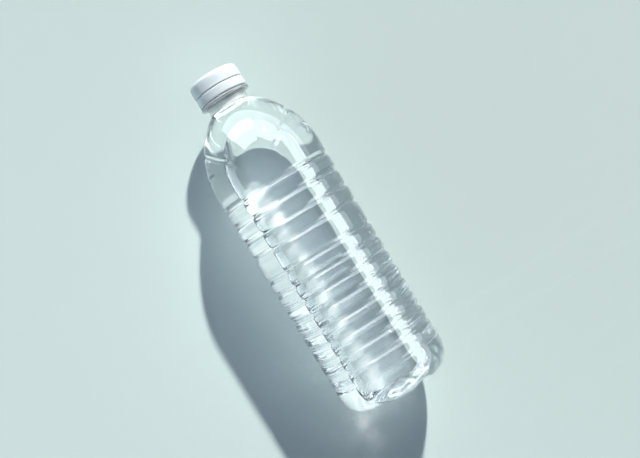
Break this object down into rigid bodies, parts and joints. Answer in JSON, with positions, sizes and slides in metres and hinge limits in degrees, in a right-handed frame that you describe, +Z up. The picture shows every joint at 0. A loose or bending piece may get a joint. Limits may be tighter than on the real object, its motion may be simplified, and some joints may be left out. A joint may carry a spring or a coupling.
{
  "type": "water bottle",
  "caption": "Round clear plastic water bottle with ribbed walls and a dipping shoulder groove, filled, closed by a white screw cap and lying on its side.",
  "frame": {"origin": "on the floor, under the middle of the bottle's length as it lies", "axes": "+X along the bottle from foot to cap, +Z up, +Y to the left seen from the foot"},
  "size_m": [0.203, 0.0658, 0.065],
  "materials": {
    "clear_plastic": "gloss",
    "white_plastic": "satin",
    "clear_water": "gloss"
  },
  "bodies": {
    "bottle": {"bottle": "clear_plastic", "tamper_band": "white_plastic", "water": "clear_water"},
    "cap": {"cap": "white_plastic"}
  },
  "joints": [
    {"name": "cap_turn", "type": "hinge", "parent": "bottle", "child": "cap", "pos_m": [0.0975, 0, 0.0322], "axis": [1, 0, 0], "range_deg": [0, 450]}
  ]
}
